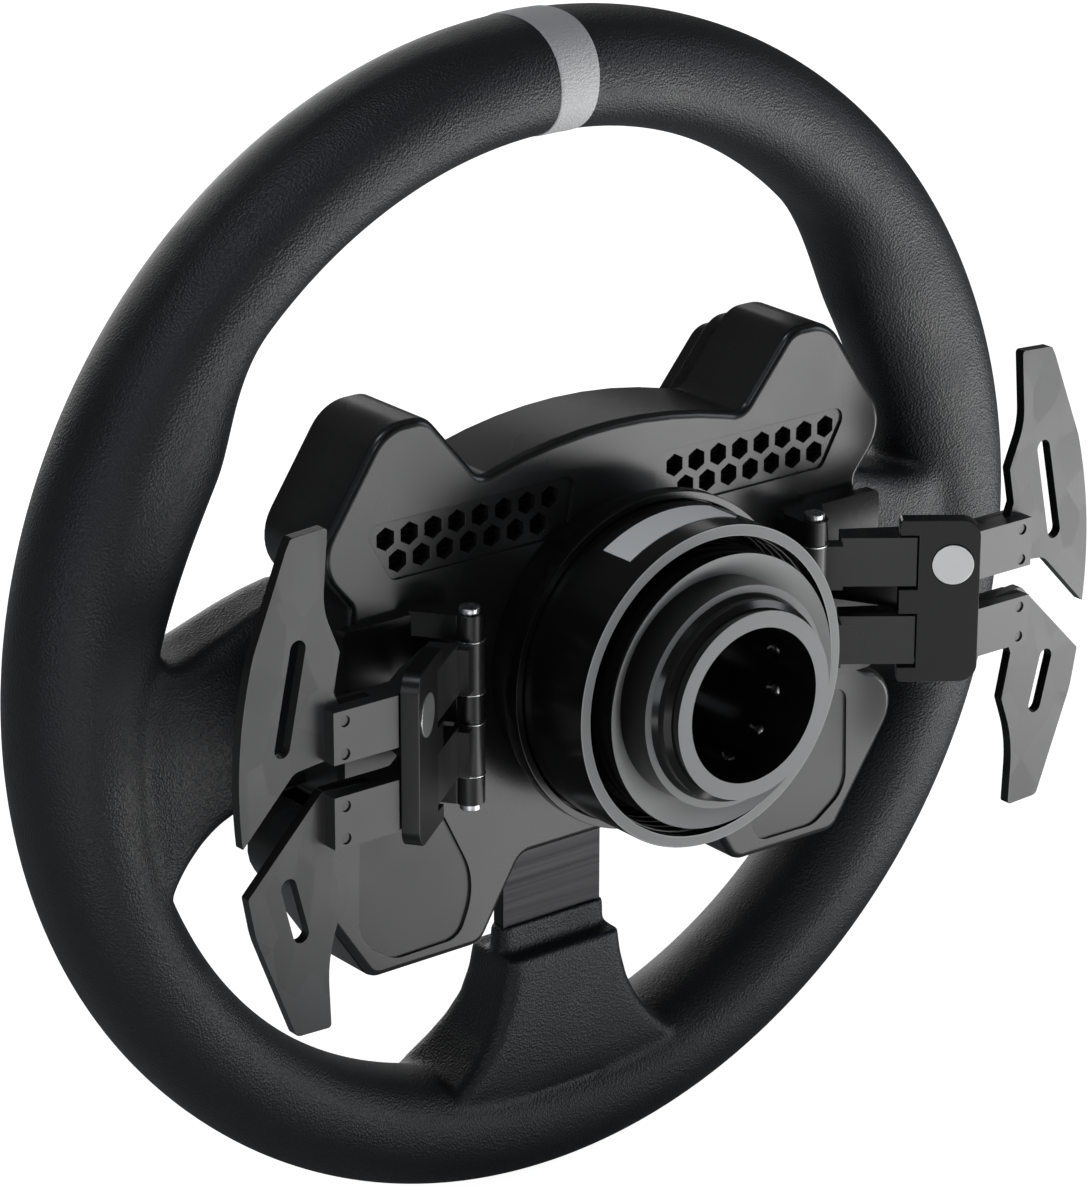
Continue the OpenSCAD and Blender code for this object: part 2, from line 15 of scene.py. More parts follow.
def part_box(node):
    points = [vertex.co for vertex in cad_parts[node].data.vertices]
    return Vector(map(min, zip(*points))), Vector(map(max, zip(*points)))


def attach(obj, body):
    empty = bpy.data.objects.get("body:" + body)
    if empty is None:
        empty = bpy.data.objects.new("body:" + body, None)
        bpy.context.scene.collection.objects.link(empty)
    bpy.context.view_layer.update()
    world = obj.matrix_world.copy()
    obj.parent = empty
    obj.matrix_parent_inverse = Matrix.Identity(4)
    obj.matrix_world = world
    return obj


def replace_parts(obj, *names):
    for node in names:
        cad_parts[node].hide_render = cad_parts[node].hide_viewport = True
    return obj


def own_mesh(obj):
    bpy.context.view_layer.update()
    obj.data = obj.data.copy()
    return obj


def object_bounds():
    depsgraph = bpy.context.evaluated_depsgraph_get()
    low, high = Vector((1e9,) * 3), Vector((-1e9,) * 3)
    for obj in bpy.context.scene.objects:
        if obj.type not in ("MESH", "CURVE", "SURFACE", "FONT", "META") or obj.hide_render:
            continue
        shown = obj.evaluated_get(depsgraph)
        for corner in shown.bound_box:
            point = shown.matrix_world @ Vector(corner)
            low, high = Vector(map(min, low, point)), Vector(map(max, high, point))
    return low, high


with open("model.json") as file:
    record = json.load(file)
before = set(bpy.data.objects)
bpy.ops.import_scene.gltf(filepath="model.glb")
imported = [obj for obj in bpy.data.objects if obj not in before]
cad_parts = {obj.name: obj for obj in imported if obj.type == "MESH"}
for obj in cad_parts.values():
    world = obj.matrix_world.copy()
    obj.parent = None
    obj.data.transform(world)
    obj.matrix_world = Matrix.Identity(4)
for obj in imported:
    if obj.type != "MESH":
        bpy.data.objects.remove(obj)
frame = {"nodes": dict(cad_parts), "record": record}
CAD_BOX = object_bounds()
RECORD = frame["record"]
MM = 0.001

BODY_OF = {n: body for body, nodes in RECORD["behaviour"]["bodies"].items() for n in nodes}
SLOT_OF = {part["node"]: part["material_slot"] for part in RECORD["subparts"]}

# The rim, from the CAD boxes: outer radius, centre plane and depth of the grip.
RIM_LOW, RIM_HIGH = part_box("rim_leather")
RIM_Y = (RIM_LOW.y + RIM_HIGH.y) / 2
RIM_OUTER = RIM_HIGH.x
GRIP_HALF_DEPTH = (RIM_HIGH.y - RIM_LOW.y) / 2
BAND_LOW, BAND_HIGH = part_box("marker_band")
BAND_HALF_WIDTH = BAND_HIGH.x
GRIP_HALF_WIDTH = (BAND_HIGH.z - BAND_LOW.z) / 2 + 0.05 * MM
RING = RIM_OUTER - GRIP_HALF_WIDTH
PLATE_LOW, PLATE_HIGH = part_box("spoke_plate")
HOUSING_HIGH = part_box("rear_housing")[1]


# ---------------------------------------------------------------- materials

# Most of a noise texture lies between these two values.
NOISE_LOW, NOISE_HIGH = 0.3, 0.7


def paint(name, color, roughness, metallic=0.0, **inputs):
    """A material whose shader holds plain values; the patterns below add to it."""
    material = bpy.data.materials.new(name)
    material.use_nodes = True
    shader = material.node_tree.nodes["Principled BSDF"]
    shader.inputs["Base Color"].default_value = (*color, 1)
    shader.inputs["Roughness"].default_value = roughness
    shader.inputs["Metallic"].default_value = metallic
    for key, value in inputs.items():
        shader.inputs[key.replace("_", " ")].default_value = value
    return material


def add(material, kind, links=(), **values):
    """A node with its values set; links are (socket name, output socket) pairs."""
    node = material.node_tree.nodes.new(kind)
    for key, value in values.items():
        if hasattr(node, key):
            setattr(node, key, value)
        else:
            node.inputs[key.replace("_", " ")].default_value = value
    for name, output in links:
        material.node_tree.links.new(output, node.inputs[name])
    return node


def feed(material, socket, output):
    """Joins an output to a socket of the material's shader."""
    shader = material.node_tree.nodes["Principled BSDF"]
    material.node_tree.links.new(output, shader.inputs[socket])


def place(material, stretch=(1, 1, 1)):
    """Object coordinates, stretched along the axes."""
    where = add(material, "ShaderNodeTexCoord")
    mapping = add(material, "ShaderNodeMapping", [("Vector", where.outputs["Object"])])
    mapping.inputs["Scale"].default_value = stretch
    return mapping.outputs["Vector"]


def ramp(material, source, low, high, dark, light):
    """Maps a texture value between low and high to dark..light."""
    node = add(
        material,
        "ShaderNodeMapRange",
        [("Value", source)],
        From_Min=low,
        From_Max=high,
        To_Min=dark,
        To_Max=light,
    )
    return node.outputs["Result"]


def noise_ramp(material, noise, dark, light):
    """Maps a noise texture to dark..light."""
    return ramp(material, noise.outputs["Fac"], NOISE_LOW, NOISE_HIGH, dark, light)


def mix_colors(material, factor, first, second):
    node = add(material, "ShaderNodeMix", [("Factor", factor)], data_type="RGBA")
    node.inputs["A"].default_value = (*first, 1)
    node.inputs["B"].default_value = (*second, 1)
    return node.outputs["Result"]


def bump(material, height, strength, distance):
    node = add(material, "ShaderNodeBump", [("Height", height)], Strength=strength, Distance=distance)
    feed(material, "Normal", node.outputs["Normal"])


def leather(name, color, worn, roughness):
    """Fine leather grain: small raised cells, with a soft unevenness of tone over the hide."""
    material = paint(name, color, roughness, Specular_IOR_Level=0.5)
    spot = place(material)
    cells = add(material, "ShaderNodeTexVoronoi", [("Vector", spot)], Scale=1500)
    hide = add(material, "ShaderNodeTexNoise", [("Vector", spot)], Scale=60, Detail=5)
    grain_depth = 0.00025
    bump(material, cells.outputs["Distance"], 0.7, grain_depth)
    feed(material, "Base Color", mix_colors(material, hide.outputs["Fac"], color, worn))
    feed(material, "Roughness", noise_ramp(material, hide, roughness - 0.04, roughness + 0.05))
    return material


def coat(name, color, roughness, metallic, speckle, **inputs):
    """Coated metal: even colour, with a fine orange-peel unevenness in the gloss."""
    material = paint(name, color, roughness, metallic, **inputs)
    spot = place(material)
    fine = add(material, "ShaderNodeTexNoise", [("Vector", spot)], Scale=1500, Detail=2)
    broad = add(material, "ShaderNodeTexNoise", [("Vector", spot)], Scale=30, Detail=3)
    feed(material, "Roughness", noise_ramp(material, broad, roughness * 0.9, roughness * 1.15))
    peel_depth = 0.00005
    bump(material, fine.outputs["Fac"], speckle, peel_depth)
    return material


def brushed(name, color, roughness, along):
    """Metal with fine brush lines; along is the axis the lines run on, 0 to 2."""
    material = paint(name, color, roughness, 1.0)
    scale_across, scale_along = 900, 12
    stretch = [scale_across] * 3
    stretch[along] = scale_along
    lines = add(material, "ShaderNodeTexNoise", [("Vector", place(material, stretch))], Scale=1, Detail=3)
    feed(material, "Roughness", noise_ramp(material, lines, roughness - 0.1, roughness + 0.15))
    lighter = tuple(min(1, c * 1.7) for c in color)
    feed(material, "Base Color", mix_colors(material, lines.outputs["Fac"], color, lighter))
    line_depth = 0.0001
    bump(material, lines.outputs["Fac"], 0.25, line_depth)
    return material


def carbon(name):
    """Forged carbon: chopped flakes of slightly different greys under a satin lacquer."""
    material = paint(name, (0.05, 0.05, 0.05), 0.38)
    flakes = add(material, "ShaderNodeTexVoronoi", [("Vector", place(material, (1, 1, 0.6)))], Scale=130)
    cloud = add(material, "ShaderNodeTexNoise", [("Vector", place(material))], Scale=50, Detail=4)
    tone = add(material, "ShaderNodeSeparateColor", [("Color", flakes.outputs["Color"])])
    product = add(
        material,
        "ShaderNodeMath",
        [(0, tone.outputs["Red"]), (1, cloud.outputs["Fac"])],
        operation="MULTIPLY",
    )
    dark_flake, light_flake = (0.024, 0.024, 0.025), (0.05, 0.05, 0.052)
    feed(material, "Base Color", mix_colors(material, product.outputs[0], dark_flake, light_flake))
    feed(material, "Roughness", ramp(material, tone.outputs["Green"], 0, 1, 0.32, 0.42))
    return material


MATERIALS = {
    "rim_leather": leather("rim_leather", (0.007, 0.0075, 0.009), (0.012, 0.013, 0.016), 0.46),
    "band_leather": leather("band_leather", (0.5, 0.5, 0.5), (0.56, 0.56, 0.56), 0.5),
    "brushed_plate": brushed("brushed_plate", (0.028, 0.028, 0.029), 0.38, 0),
    "housing_coat": coat("housing_coat", (0.014, 0.014, 0.0145), 0.27, 0, 0.12),
    "mesh": coat("mesh", (0.003, 0.003, 0.003), 0.8, 0, 0.3, Specular_IOR_Level=0.05),
    "gloss_black": coat("gloss_black", (0.004, 0.004, 0.004), 0.22, 0, 0.03),
    "machined_metal": coat("machined_metal", (0.004, 0.004, 0.004), 0.16, 0, 0.03),
    "steel": brushed("steel", (0.5, 0.5, 0.51), 0.28, 2),
    "ball_steel": coat("ball_steel", (0.9, 0.9, 0.9), 0.22, 1.0, 0.02),
    "label": coat("label", (0.95, 0.95, 0.95), 0.6, 0, 0.1),
    "contact_gold": coat("contact_gold", (0.02, 0.02, 0.02), 0.35, 0, 0.2),
    "board": coat("board", (0.01, 0.08, 0.03), 0.4, 0, 0.2),
    "lens": coat("lens", (0.3, 0.02, 0.015), 0.12, 0, 0.02),
    "black_steel": coat("black_steel", (0.01, 0.01, 0.01), 0.3, 0, 0.2),
    "button_plastic": coat("button_plastic", (0.03, 0.03, 0.033), 0.38, 0, 0.3),
    "control_metal": brushed("control_metal", (0.06, 0.06, 0.062), 0.32, 1),
    "gimbal_metal": brushed("gimbal_metal", (0.5, 0.5, 0.5), 0.35, 0),
    "module_metal": coat("module_metal", (0.006, 0.006, 0.0062), 0.3, 0, 0.15, Specular_IOR_Level=0.4),
    "disc_metal": coat("disc_metal", (0.6, 0.6, 0.6), 0.3, 1.0, 0.1),
    "arm_metal": coat("arm_metal", (0.02, 0.02, 0.0205), 0.28, 0, 0.15),
    "carbon": carbon("carbon"),
}
# Near-black edge material; on the housing's vent recess walls it is painted shade.
BLACK_EDGE = coat("black_edge", (0.004, 0.004, 0.004), 0.25, 0, 0.1)
GOLD = coat("gold_contact", (0.85, 0.6, 0.2), 0.25, 1.0, 0.02)
# Satin grey of the flat turned faces: partly their own machined tone, partly a painted reflection of the
# bright surroundings.
TURNED_FACE = coat("turned_face", (0.25, 0.25, 0.25), 0.55, 0, 0.05, Specular_IOR_Level=0.15)
# A lighter copy of that grey for the dish: painted light, so its tilted faces look as lit as the flat ones.
DISH_PAINTED_LIGHTER = coat("turned_dish_painted_lighter", (0.36, 0.36, 0.36), 0.55, 0, 0.05, Specular_IOR_Level=0.15)
RECESS = coat("recess", (0.013, 0.013, 0.0135), 0.34, 0, 0.2)


# ---------------------------------------------------------------- meshes


def smooth_by_angle(bm, degrees=32):
    """Smooth shading, with the edges above an angle kept sharp."""
    for face in bm.faces:
        face.smooth = True
    for edge in bm.edges:
        if edge.is_manifold:
            edge.smooth = edge.calc_face_angle() < math.radians(degrees)


def bake_modifiers(obj):
    """Turns an object's modifiers into its mesh."""
    depsgraph = bpy.context.evaluated_depsgraph_get()
    baked = bpy.data.meshes.new_from_object(obj.evaluated_get(depsgraph))
    obj.modifiers.clear()
    obj.data = baked


def piece(name, bm, node, extra_materials=()):
    """Makes an object that stands for a CAD node: its body, finish slot and material."""
    mesh = bpy.data.meshes.new(name)
    bm.to_mesh(mesh)
    bm.free()
    obj = bpy.data.objects.new(name, mesh)
    bpy.context.scene.collection.objects.link(obj)
    for material in (MATERIALS[SLOT_OF[node]], *extra_materials):
        mesh.materials.append(material)
    even = obj.modifiers.new("even", "WEIGHTED_NORMAL")
    even.keep_sharp = True
    bake_modifiers(obj)
    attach(obj, BODY_OF[node])
    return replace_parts(obj, node)


def cad_copy(node):
    """The CAD mesh of a node, welded, with its flat faces whole."""
    bm = bmesh.new()
    bm.from_mesh(frame["nodes"][node].data)
    bmesh.ops.remove_doubles(bm, verts=bm.verts, dist=1e-6)
    bmesh.ops.dissolve_limit(bm, angle_limit=math.radians(0.3), verts=bm.verts, edges=bm.edges)
    for face in bm.faces:
        face.material_index = 0
    return bm


def sharp_edges(bm, degrees=40, keep=lambda edge: True):
    return [e for e in bm.edges if e.is_manifold and e.calc_face_angle() > math.radians(degrees) and keep(e)]


def round_edges(bm, edges, width, steps, clamp=True):
    bmesh.ops.bevel(
        bm,
        geom=edges,
        offset=width,
        offset_type="OFFSET",
        affect="EDGES",
        segments=steps,
        profile=0.5,
        clamp_overlap=clamp,
    )


def finished(node, width):
    """A CAD node with its sharp edges softened."""
    bm = cad_copy(node)
    round_edges(bm, sharp_edges(bm), width, 2)
    smooth_by_angle(bm)
    return piece(node + ".finish", bm, node)


def grid_faces(bm, rows, close_rows):
    """Quads between rings of vertices; each ring is closed, and the rows too if asked."""
    count = len(rows)
    for i in range(count if close_rows else count - 1):
        here, there = rows[i], rows[(i + 1) % count]
        for j in range(len(here)):
            k = (j + 1) % len(here)
            bm.faces.new((here[j], here[k], there[k], there[j]))


def smoothstep(low, high, value):
    t = min(1.0, max(0.0, (value - low) / (high - low)))
    return t * t * (3 - 2 * t)


# ---------------------------------------------------------------- leather rim


# The thumb rests: how far they swell inwards, and the angles above the side spokes, in degrees,
# between which they grow from below and fade out above.
SWELL_SIZE = 9.2 * MM
SWELL_GROWS = (-16, 27)
SWELL_FADES = (29, 46)

# The swell leans towards the back of the wheel by this share of its size.
SWELL_LEAN = 0.3

# Powers that shape the grip: below 1 its oval is squarer, above 1 the swell gathers at the inside.
GRIP_SQUARENESS = 0.9
SWELL_GATHER = 1.2


def thumb_swell(angle):
    """How far the grip swells inwards, from its angle above the side spokes in degrees."""
    fading = 1 - smoothstep(*SWELL_FADES, angle)
    growing = smoothstep(*SWELL_GROWS, angle)
    return SWELL_SIZE * fading * growing


def grip_ring(bm, turn, offset=0.0, points=48):
    """One oval ring of the grip at an angle round the wheel, grown by an offset."""
    angle = math.degrees(math.asin(math.sin(turn)))
    swell = thumb_swell(angle)
    ring = []
    for i in range(points):
        phi = 2 * math.pi * i / points
        c, s = math.cos(phi), math.sin(phi)
        across = math.copysign(abs(c) ** GRIP_SQUARENESS, c) * (GRIP_HALF_WIDTH + offset)
        deep = math.copysign(abs(s) ** GRIP_SQUARENESS, s) * (GRIP_HALF_DEPTH + offset)
        inner = max(0.0, -c) ** SWELL_GATHER
        across -= swell * inner
        deep += SWELL_LEAN * swell * inner
        radius = RING + across
        ring.append(bm.verts.new((radius * math.cos(turn), RIM_Y + deep, radius * math.sin(turn))))
    return ring


def rounded_ring(bm, low_a, high_a, low_b, high_b, corner, point, low_corner=None):
    """A rounded rectangle in two coordinates a and b; point turns them into a place.
    low_corner is the radius of the two corners on the low side of a."""
    low_corner = low_corner or corner
    corner_steps = 6
    ring = []
    for sign_a, sign_b, start in ((1, 1, 0), (-1, 1, 90), (-1, -1, 180), (1, -1, 270)):
        radius = corner if sign_a > 0 else low_corner
        centre_a = high_a - radius if sign_a > 0 else low_a + radius
        centre_b = high_b - radius if sign_b > 0 else low_b + radius
        for step in range(corner_steps + 1):
            turn = math.radians(start + 90 / corner_steps * step)
            a = centre_a + radius * math.cos(turn)
            b = centre_b + radius * math.sin(turn)
            ring.append(bm.verts.new(point(a, b)))
    return ring


# Side spoke covering by distance from the centre, mm: top, bottom, back and front of its section.
SIDE_SECTIONS = [
    (84, 28.0, -27.0, 14.0, -9.5),
    (92, 26.0, -27.2, 14.4, -10.5),
    (100, 23.6, -28.0, 14.8, -11.0),
    (107, 21.0, -29.0, 15.2, -11.5),
    (113, 18.8, -31.5, 15.4, -12.0),
    (119, 17.0, -35.5, 15.7, -12.5),
    (124, 16.4, -40.5, 16.0, -13.5),
    (129, 16.8, -48.0, 16.2, -14.5),
    (135, 17.5, -58.0, 15.5, -14.5),
    (141, 17.5, -64.0, 12.0, -12.0),
]

# Bottom spoke covering by height, mm: half-width, back and front of its section.
BOTTOM_SECTIONS = [
    (-95.5, 19.4, 16.0, -5.0),
    (-103, 20.4, 16.2, -5.6),
    (-111, 22.6, 16.4, -7.0),
    (-118, 26.0, 16.6, -9.5),
    (-124, 30.5, 16.6, -12.0),
    (-130, 36.5, 16.4, -14.5),
    (-136, 44.0, 15.5, -15.0),
    (-142, 50.0, 12.0, -12.0),
]


def close_ends(bm, rows):
    bm.faces.new(reversed(rows[0]))
    bm.faces.new(rows[-1])


def leather_blank():
    """Grip, spoke coverings and bottom neck as overlapping closed shapes, before they are merged."""
    bm = bmesh.new()
    turns = 288
    back_corner, front_corner = 5.5 * MM, 9.5 * MM
    bottom_corner = 4 * MM
    neck_top, neck_bottom = -88, -98
    neck_half, neck_wrap, neck_corner = 18.3 * MM, 1.3 * MM, 2 * MM
    grid_faces(bm, [grip_ring(bm, 2 * math.pi * i / turns) for i in range(turns)], True)
    for side in (1, -1):
        rows = []
        for x, top, bottom, back, front in SIDE_SECTIONS:
            rows.append(
                rounded_ring(
                    bm, front * MM, back * MM, bottom * MM, top * MM, back_corner,
                    lambda y, z, x=x: (side * x * MM, RIM_Y + y, z), front_corner,
                )
            )
        grid_faces(bm, rows, False)
        close_ends(bm, rows)
    rows = []
    for z, half, back, front in BOTTOM_SECTIONS:
        rows.append(
            rounded_ring(
                bm, -half * MM, half * MM, front * MM, back * MM, bottom_corner,
                lambda x, y, z=z: (x, RIM_Y + y, z * MM),
            )
        )
    grid_faces(bm, rows, False)
    close_ends(bm, rows)
    neck = []
    for z in (neck_top, neck_bottom):
        neck.append(
            rounded_ring(
                bm, -neck_half, neck_half, PLATE_LOW.y - neck_wrap, PLATE_HIGH.y + neck_wrap, neck_corner,
                lambda x, y, z=z: (x, y, z * MM),
            )
        )
    grid_faces(bm, neck, False)
    close_ends(bm, neck)
    bmesh.ops.recalc_face_normals(bm, faces=bm.faces)
    return bm


# Cell size of the merged leather skin.
SKIN_VOXEL = 1.1 * MM

# The valleys where the side spokes run into the grip are smoothed harder than the rest. They fade
# in and out over these distances from the centre, and these heights, mm.
VALLEY_STARTS = (108, 116)
VALLEY_ENDS = (136, 146)
VALLEY_HEIGHT = (45, 60)


def leather_rim():
    """One skin over the grip, the thumb rests and the three spoke ends."""
    rim = piece("rim_cover", leather_blank(), "rim_leather")
    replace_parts(rim, "spoke_leather_right", "spoke_leather_left", "spoke_leather_bottom", "rim_foam")
    merge = rim.modifiers.new("merge", "REMESH")
    merge.mode = "VOXEL"
    merge.voxel_size = SKIN_VOXEL
    bake_modifiers(rim)
    valley = rim.vertex_groups.new(name="valley")
    for vertex in rim.data.vertices:
        x, z = abs(vertex.co.x) / MM, abs(vertex.co.z) / MM
        past_spoke = smoothstep(*VALLEY_STARTS, x)
        before_grip = 1 - smoothstep(*VALLEY_ENDS, x)
        near_spoke = 1 - smoothstep(*VALLEY_HEIGHT, z)
        weight = past_spoke * before_grip * near_spoke
        if weight > 0:
            valley.add([vertex.index], weight, "REPLACE")
    for name, group, rounds in (("valleys", "valley", 40), ("soften", "", 6)):
        soften = rim.modifiers.new(name, "SMOOTH")
        soften.factor = 0.5
        soften.iterations = rounds
        soften.vertex_group = group
    bake_modifiers(rim)
    for polygon in rim.data.polygons:
        polygon.use_smooth = True
    return rim


def marker_band():
    """The light band: a leather sleeve whose edges tuck into the grip."""
    half = BAND_HALF_WIDTH / RIM_OUTER
    # Share of the half-width, and growth over the grip in mm.
    stations = [
        (-1, -1.6), (-1, -0.1), (-0.97, 0.18), (-0.8, 0.28), (0, 0.3),
        (0.8, 0.28), (0.97, 0.18), (1, -0.1), (1, -1.6),
    ]
    bm = bmesh.new()
    rows = [grip_ring(bm, math.pi / 2 - half * along, grow * MM, 96) for along, grow in stations]
    grid_faces(bm, rows, True)
    bmesh.ops.recalc_face_normals(bm, faces=bm.faces)
    smooth_by_angle(bm, 60)
    return piece("marker_band.leather", bm, "marker_band")


# ---------------------------------------------------------------- turned pieces


def lathe(node, name, profile, segments, ribs=0, rib_depth=0.0):
    """Turns a profile round the middle of a node. Profile points are (radius, y, kind) in metres;
    kind "rib" makes the point ripple and "round" leaves it a circle."""
    low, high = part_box(node)
    centre = (low + high) / 2
    bm = bmesh.new()
    rows = []
    for radius, y, kind in profile:
        ring = []
        for i in range(segments):
            turn = 2 * math.pi * i / segments
            r = radius
            if kind == "rib":
                r -= rib_depth * (0.5 + 0.5 * math.cos(ribs * turn))
            ring.append(bm.verts.new((centre.x + r * math.cos(turn), y, centre.z + r * math.sin(turn))))
        rows.append(ring)
    grid_faces(bm, rows, False)
    close_ends(bm, rows)
    bmesh.ops.recalc_face_normals(bm, faces=bm.faces)
    smooth_by_angle(bm, 38)
    return piece(name, bm, node)


def round_profile(points):
    """Round profile points from pairs of a radius in mm and a y in metres."""
    return [(r * MM, y, "round") for r, y in points]


def push_button(node):
    low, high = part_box(node)
    front, back = low.y, high.y
    radius = 6.0
    points = [
        (0.05, front + 0.5 * MM), (3.6, front + 0.25 * MM), (4.9, front), (5.5, front + 0.1 * MM),
        (5.85, front + 0.45 * MM), (radius, front + 1.0 * MM), (radius, front + 5.6 * MM),
        (radius + 1.2, front + 5.6 * MM), (radius + 1.2, front + 6.2 * MM), (2.4, front + 6.2 * MM),
        (2.4, back - 0.3 * MM), (2.1, back), (0.05, back),
    ]
    return lathe(node, node + ".cap", round_profile(points), 48)


def ribbed_control(node, ribs, depth):
    """A knurled knob with a dished face and a shaft."""
    low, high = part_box(node)
    radius = (high.x - low.x) / 2
    front, back = low.y, high.y
    cap = front + 11.1 * MM
    small_knob = 9 * MM
    shaft = 2.5 * MM if radius < small_knob else 3.5 * MM
    profile = [
        (0.0001, front + 0.9 * MM, "round"), (radius - 3 * MM, front + 0.8 * MM, "round"),
        (radius - 2.2 * MM, front, "round"), (radius - 1.4 * MM, front, "round"),
        (radius - 0.5 * MM, front + 0.6 * MM, "round"), (radius, front + 1.3 * MM, "rib"),
        (radius, cap - 1.2 * MM, "rib"), (radius - 0.5 * MM, cap - 0.5 * MM, "round"),
        (radius - 0.9 * MM, cap, "round"), (shaft, cap, "round"),
        (shaft, back, "round"), (0.0001, back, "round"),
    ]
    return lathe(node, node + ".turned", profile, ribs * 6, ribs, depth)


def thumb_stick(node):
    low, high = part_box(node)
    front, back = low.y, high.y
    points = [
        (0.05, front + 1.0 * MM), (3.0, front + 0.8 * MM), (5.0, front + 0.1 * MM), (5.9, front + 0.05 * MM),
        (6.4, front + 0.5 * MM), (6.5, front + 1.2 * MM), (6.3, front + 2.2 * MM), (5.6, front + 2.8 * MM),
        (3.4, front + 3.3 * MM), (2.2, front + 4.6 * MM), (2.0, front + 7 * MM), (2.0, back - 9 * MM),
    ]
    ball_radius = 4.6
    ball = []
    for degrees in range(30, 180, 10):
        turn = math.radians(degrees)
        y = back - ball_radius * MM - ball_radius * MM * math.cos(turn)
        ball.append((ball_radius * math.sin(turn), y))
    return lathe(node, node + ".turned", round_profile(points + ball + [(0.05, back)]), 48)


# ---------------------------------------------------------------- housing and blades


def housing():
    """The cast housing: a wide soft edge round the back, small ones at the vents and recesses. The low walls
    round the vent recesses are painted near-black as painted shade.
    """
    bm = cad_copy("rear_housing")
    back = HOUSING_HIGH.y
    recess_depth = 0.8 * MM
    least_wall_depth = 5 * MM
    outline_radius = 50 * MM
    middle_radius = 25 * MM
    vents_half_span, vents_bottom, vents_top = 79 * MM, 33 * MM, 51 * MM
    painted_shade_wall, recess_floor = 1, 2

    def on_back_outline(edge):
        a, b = edge.verts
        if min(a.co.y, b.co.y) < back - 0.01 * MM:
            return False
        wall = min(edge.link_faces, key=lambda f: abs(f.normal.y))
        depth = back - min(v.co.y for v in wall.verts)
        outside = Vector((a.co.x, a.co.z)).length > outline_radius
        return depth > least_wall_depth and outside and not near_vents(a.co)

    def near_vents(co):
        return abs(co.x) < vents_half_span and vents_bottom < co.z < vents_top

    outline = sharp_edges(bm, 40, on_back_outline)
    round_edges(bm, outline, 2.2 * MM, 4, False)
    rest = sharp_edges(bm, 50, lambda e: min(v.co.y for v in e.verts) > back - 1.5 * recess_depth)
    round_edges(bm, rest, 0.22 * MM, 2)
    for face in bm.faces:
        middle = face.calc_center_median()
        in_recess = back - 1.1 * recess_depth < middle.y < back - 0.02 * MM
        if in_recess and math.hypot(middle.x, middle.z) > middle_radius:
            low_wall = max(v.co.y - middle.y for v in face.verts) < recess_depth
            # The low walls round the vent recesses get the near-black material: painted shade that darkens
            # the recess outline.
            if middle.z > 0 and abs(face.normal.y) < 0.9 and low_wall:
                face.material_index = painted_shade_wall
            elif face.normal.y > 0.99 and middle.z < 0:
                face.material_index = recess_floor
    smooth_by_angle(bm, 30)
    return piece("rear_housing.cast", bm, "rear_housing", [BLACK_EDGE, RECESS])


def blade(node):
    """A carbon blade: mottled faces with a black bevelled edge all round."""
    bm = cad_copy(node)
    round_edges(bm, sharp_edges(bm, 50), 0.55 * MM, 2)
    for face in bm.faces:
        if abs(face.normal.y) < 0.98:
            face.material_index = 1
    smooth_by_angle(bm)
    return piece(node + ".carbon", bm, node, [BLACK_EDGE])


def quick_release_part(node, width):
    """Glossy black turned metal whose flat end faces, and the dish round the tube, are satin grey. The
    faces' grey is partly their own machined tone and partly a painted reflection; the dish gets a lighter
    copy of it as painted light, so its tilted faces match the flat ones.
    """
    bm = cad_copy(node)
    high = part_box(node)[1].y
    tube_radius = 30 * MM
    stepped_length = 19 * MM
    round_edges(bm, sharp_edges(bm), width, 2)
    for face in bm.faces:
        middle = face.calc_center_median()
        flat = face.normal.y > 0.99
        dish = face.normal.y > 0.7 and math.hypot(middle.x, middle.z) > tube_radius
        if (flat or dish) and middle.y > high - stepped_length:
            # Index 2, the dish, takes the lighter grey: painted light for its tilted faces.
            face.material_index = 1 if flat else 2
    smooth_by_angle(bm)
    return piece(node + ".turned", bm, node, [TURNED_FACE, DISH_PAINTED_LIGHTER])


def contact_block():
    """Black insulator with gold spring contacts."""
    bm = cad_copy("contact_block")
    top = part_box("contact_block")[1].y
    contact_height = 1.9 * MM
    round_edges(bm, sharp_edges(bm), 0.2 * MM, 2)
    for face in bm.faces:
        if face.calc_center_median().y > top - contact_height:
            face.material_index = 1
    smooth_by_angle(bm)
    return piece("contact_block.gold", bm, "contact_block", [GOLD])


def bar_box(bm, low, high):
    bmesh.ops.create_cube(
        bm,
        size=1,
        matrix=Matrix.Translation((Vector(low) + Vector(high)) / 2)
        @ Matrix.Diagonal((*(Vector(high) - Vector(low)), 1)),
    )


def vent_mesh():
    """Crossing wires behind the vents, within the CAD strips."""
    low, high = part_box("vent_mesh")
    inner = 17 * MM
    pitch, wire = 1.5 * MM, 0.35 * MM
    middle = (low.y + high.y) / 2
    bm = bmesh.new()
    for side in (1, -1):
        across = int((high.x - inner) / pitch)
        for i in range(across + 1):
            x = side * (inner + wire + pitch * i * (high.x - inner - 2 * wire) / (pitch * across))
            bar_box(bm, (x - wire, low.y, low.z), (x + wire, middle, high.z))
        up = int((high.z - low.z) / pitch)
        for i in range(up + 1):
            z = low.z + wire + (high.z - low.z - 2 * wire) * i / up
            ends = sorted((side * inner, side * high.x))
            bar_box(bm, (ends[0], middle, z - wire), (ends[1], high.y, z + wire))
    return piece("vent_mesh.wires", bm, "vent_mesh")


